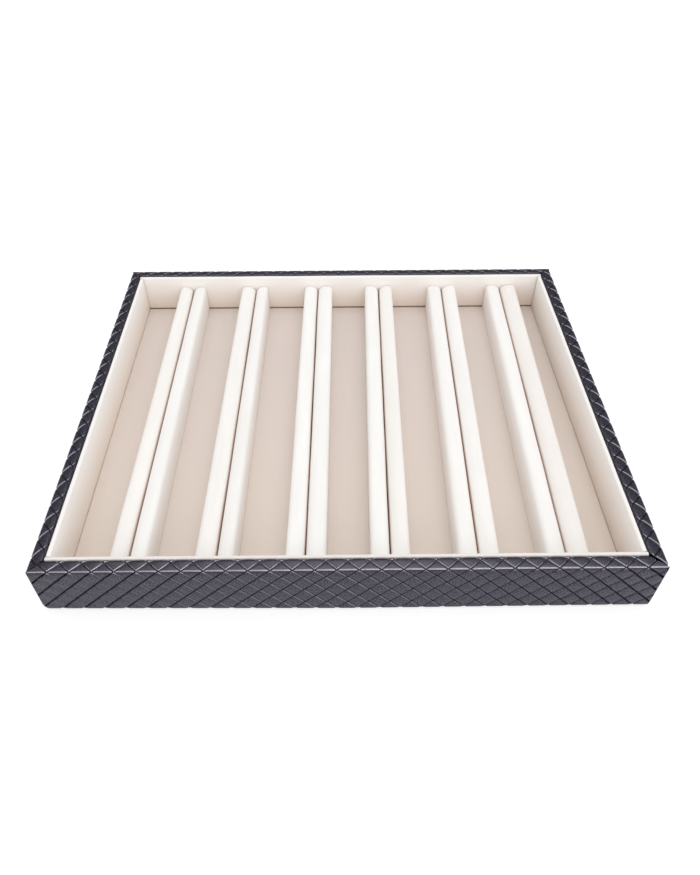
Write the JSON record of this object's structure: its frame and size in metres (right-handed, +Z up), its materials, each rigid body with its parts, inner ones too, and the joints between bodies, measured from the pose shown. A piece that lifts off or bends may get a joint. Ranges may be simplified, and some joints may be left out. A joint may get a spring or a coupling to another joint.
{
  "type": "jewellery tray",
  "caption": "Shallow open tray wrapped in embossed leatherette and lined with velvet; padded rolls hold rings in their slots, with open channels between them.",
  "frame": {"origin": "middle of the underside, on the felt's bottom face", "axes": "+X along the long side from left to right, +Y from the front to the back, +Z up out of the tray"},
  "size_m": [0.3, 0.25, 0.033],
  "materials": {
    "leatherette": "satin",
    "cream_velvet": "matte",
    "floor_velvet": "matte",
    "felt": "matte",
    "board": "matte",
    "card": "matte",
    "foam": "matte"
  },
  "bodies": {
    "root": {"base_board": "board", "floor_card": "card", "floor_velvet": "floor_velvet", "leatherette_wrap": "leatherette", "lining_card_back": "card", "lining_card_front": "card", "lining_card_left": "card", "lining_card_right": "card", "lining_velvet_back": "cream_velvet", "lining_velvet_front": "cream_velvet", "lining_velvet_left": "cream_velvet", "lining_velvet_right": "cream_velvet", "ring_roll_foam_1_left": "foam", "ring_roll_foam_1_right": "foam", "ring_roll_foam_2_left": "foam", "ring_roll_foam_2_right": "foam", "ring_roll_foam_3_left": "foam", "ring_roll_foam_3_right": "foam", "ring_roll_foam_4_left": "foam", "ring_roll_foam_4_right": "foam", "ring_roll_foam_5_left": "foam", "ring_roll_foam_5_right": "foam", "ring_roll_foam_6_left": "foam", "ring_roll_foam_6_right": "foam", "ring_roll_velvet_1_left": "cream_velvet", "ring_roll_velvet_1_right": "cream_velvet", "ring_roll_velvet_2_left": "cream_velvet", "ring_roll_velvet_2_right": "cream_velvet", "ring_roll_velvet_3_left": "cream_velvet", "ring_roll_velvet_3_right": "cream_velvet", "ring_roll_velvet_4_left": "cream_velvet", "ring_roll_velvet_4_right": "cream_velvet", "ring_roll_velvet_5_left": "cream_velvet", "ring_roll_velvet_5_right": "cream_velvet", "ring_roll_velvet_6_left": "cream_velvet", "ring_roll_velvet_6_right": "cream_velvet", "underside_felt": "felt", "wall_board_back": "board", "wall_board_front": "board", "wall_board_left": "board", "wall_board_right": "board"}
  },
  "joints": []
}
